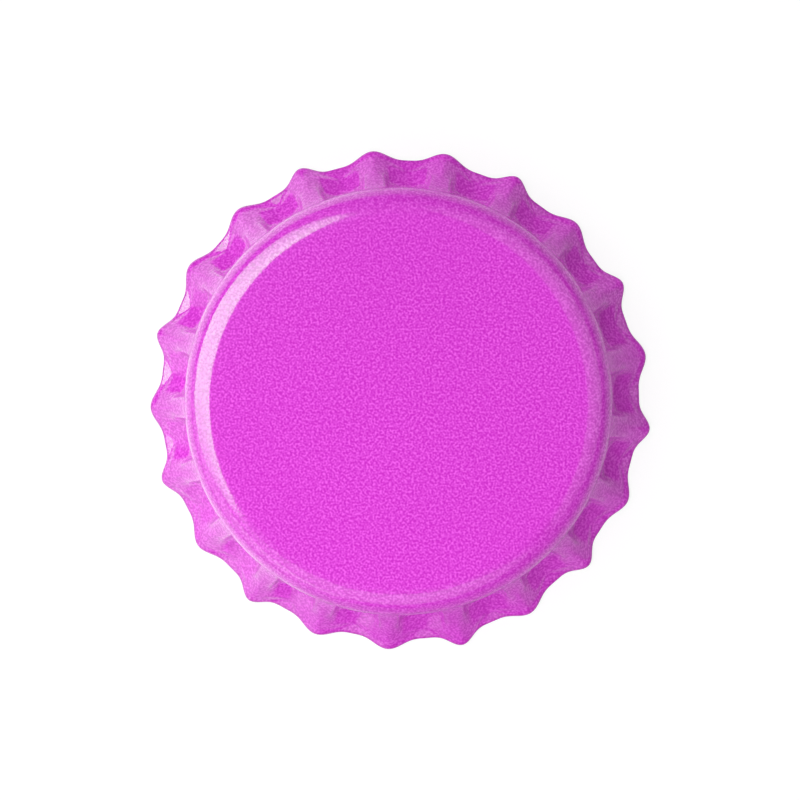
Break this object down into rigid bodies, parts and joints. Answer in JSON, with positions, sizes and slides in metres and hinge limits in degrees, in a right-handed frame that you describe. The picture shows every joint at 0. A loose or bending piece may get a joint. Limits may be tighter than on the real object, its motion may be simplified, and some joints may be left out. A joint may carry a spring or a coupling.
{
  "type": "crown bottle cap",
  "caption": "Round crown bottle cap: a pressed sheet-metal shell with a flat top, rounded shoulder and flared fluted skirt, with a moulded sealing liner inside.",
  "frame": {"origin": "on the cap's axis, in the plane that its rim stands on", "axes": "+Z along the cap's axis, out of the top panel; +X to the right and +Y up in the picture"},
  "size_m": [0.0319, 0.032, 0.006],
  "materials": {
    "lacquer": "gloss magenta lacquer with a fine grain, on tinplate",
    "liner": "soft off-white moulded polymer"
  },
  "bodies": {
    "root": {"shell": "lacquer", "liner": "liner"}
  },
  "joints": []
}
